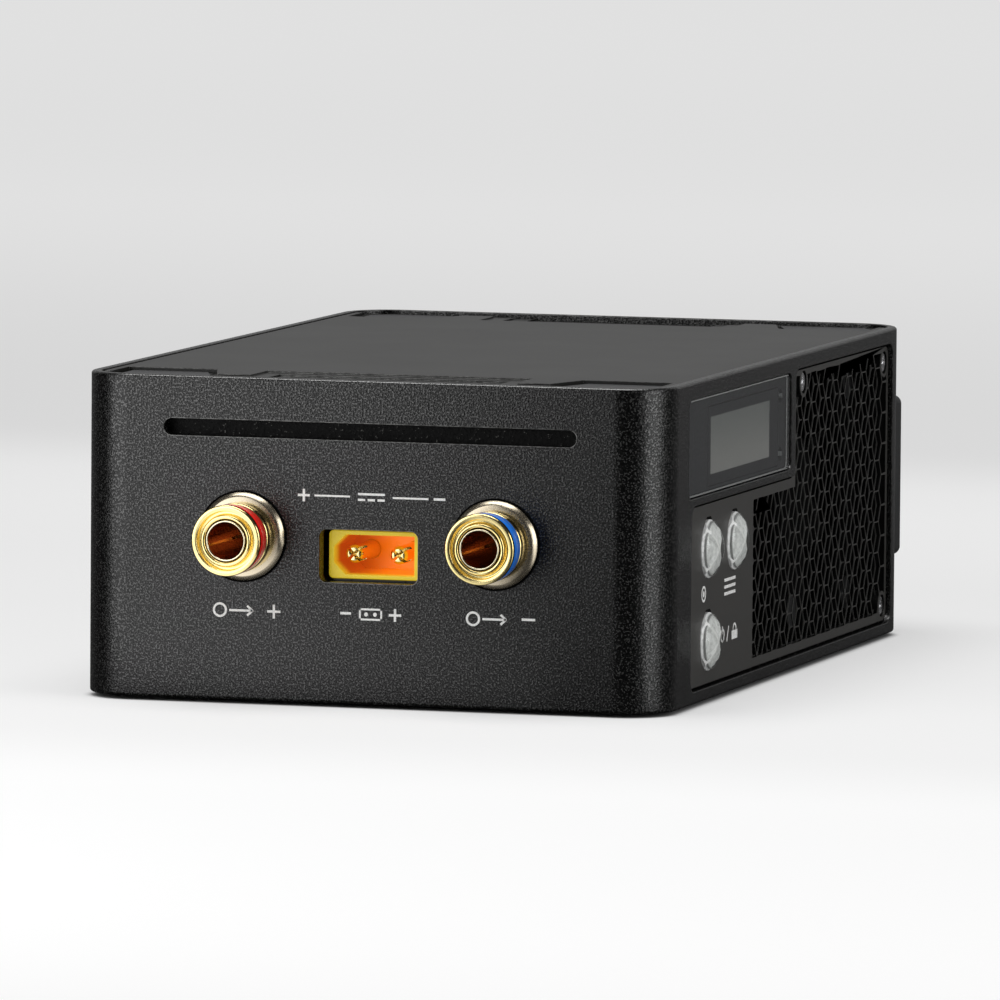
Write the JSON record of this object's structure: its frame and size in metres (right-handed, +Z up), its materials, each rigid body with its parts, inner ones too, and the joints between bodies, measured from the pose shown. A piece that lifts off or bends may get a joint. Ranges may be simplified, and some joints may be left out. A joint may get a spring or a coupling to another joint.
{
  "type": "compact dc bench load module",
  "caption": "Small box-shaped dc bench instrument with front banana sockets, a sense connector, a side display, press buttons, a hexagon air grille and an inner fan.",
  "frame": {"origin": "middle of the shell between its sides and of the whole object from front to back, at the height of the surface it stands on", "axes": "+Z up, +Y from the socket face to the back, +X to the side with the display and buttons"},
  "size_m": [0.0671, 0.1132, 0.0354],
  "materials": {
    "textured_shell": "fine textured charcoal powder coat",
    "cover": "smooth satin black anodised",
    "screw_steel": "nickel plated",
    "pad_metal": "dark satin",
    "foot_rubber": "matt",
    "grille_paint": "satin dark grey",
    "inner_plastic": "matt moulded",
    "display_glass": "glossy, printed dark behind",
    "display_cell": "unlit grey cell",
    "clear_plastic": "clear polished",
    "circuit_board": "green solder mask",
    "gold_plate": "polished gold plate",
    "contact_copper": "polished copper alloy",
    "washer_metal": "satin champagne plate",
    "red_plastic": "glossy",
    "blue_plastic": "glossy",
    "yellow_plastic": "translucent moulded nylon",
    "chip_black": "moulded epoxy",
    "thermal_rubber": "soft pad",
    "bare_aluminium": "extruded",
    "shunt_metal": "bare strip",
    "capacitor_sleeve": "dark sleeve",
    "header_plastic": "natural nylon",
    "fan_plastic": "moulded",
    "lead_sheath": "soft sheath",
    "vent_plastic": "fine grained",
    "socket_metal": "drawn shell"
  },
  "bodies": {
    "housing": {"shell_band": "textured_shell", "top_cover": "cover", "bottom_cover": "cover", "top_cover_screws": "screw_steel", "bottom_cover_screws": "screw_steel", "stacking_pads": "pad_metal", "feet": "foot_rubber", "side_grille": "grille_paint", "side_grille_screws": "screw_steel", "side_frame": "inner_plastic", "display_glass": "display_glass", "display_gasket": "foot_rubber", "display_panel": "display_cell", "indicator_lights": "clear_plastic", "ui_board": "circuit_board", "tact_switches": "inner_plastic", "positive_jack_sleeve": "gold_plate", "positive_jack_ring": "red_plastic", "positive_jack_contact": "contact_copper", "negative_jack_sleeve": "gold_plate", "negative_jack_ring": "blue_plastic", "negative_jack_contact": "contact_copper", "jack_washers": "washer_metal", "jack_insulators": "inner_plastic", "jack_nuts": "gold_plate", "positive_bus_bar": "contact_copper", "negative_bus_bar": "contact_copper", "sense_connector": "yellow_plastic", "sense_pins": "gold_plate", "slot_screen": "inner_plastic", "main_board": "circuit_board", "board_standoffs": "gold_plate", "board_screws": "screw_steel", "power_transistors": "chip_black", "thermal_pads": "thermal_rubber", "heatsink": "bare_aluminium", "heatsink_spacers": "bare_aluminium", "shunt_resistor": "shunt_metal", "capacitors": "capacitor_sleeve", "control_chips": "chip_black", "board_headers": "header_plastic", "ribbon_cable": "header_plastic", "fan_frame": "inner_plastic", "fan_screws": "screw_steel", "fan_lead": "lead_sheath", "rear_vent": "vent_plastic", "rear_vent_screws": "screw_steel", "power_socket": "socket_metal"},
    "set_key": {"button_set": "clear_plastic"},
    "menu_key": {"button_menu": "clear_plastic"},
    "power_key": {"button_power": "clear_plastic"},
    "rotor": {"fan_rotor": "fan_plastic"}
  },
  "joints": [
    {"name": "set_press", "type": "slide", "parent": "housing", "child": "set_key", "axis": [-1, 0, 0], "range_m": [0, 0.0004], "stiffness_N_per_m": 1500},
    {"name": "menu_press", "type": "slide", "parent": "housing", "child": "menu_key", "axis": [-1, 0, 0], "range_m": [0, 0.0004], "stiffness_N_per_m": 1500},
    {"name": "power_press", "type": "slide", "parent": "housing", "child": "power_key", "axis": [-1, 0, 0], "range_m": [0, 0.0004], "stiffness_N_per_m": 1500},
    {"name": "fan_spin", "type": "hinge", "parent": "housing", "child": "rotor", "pos_m": [0.02235, 0.0268, 0.01773], "axis": [1, 0, 0], "continuous": true}
  ]
}
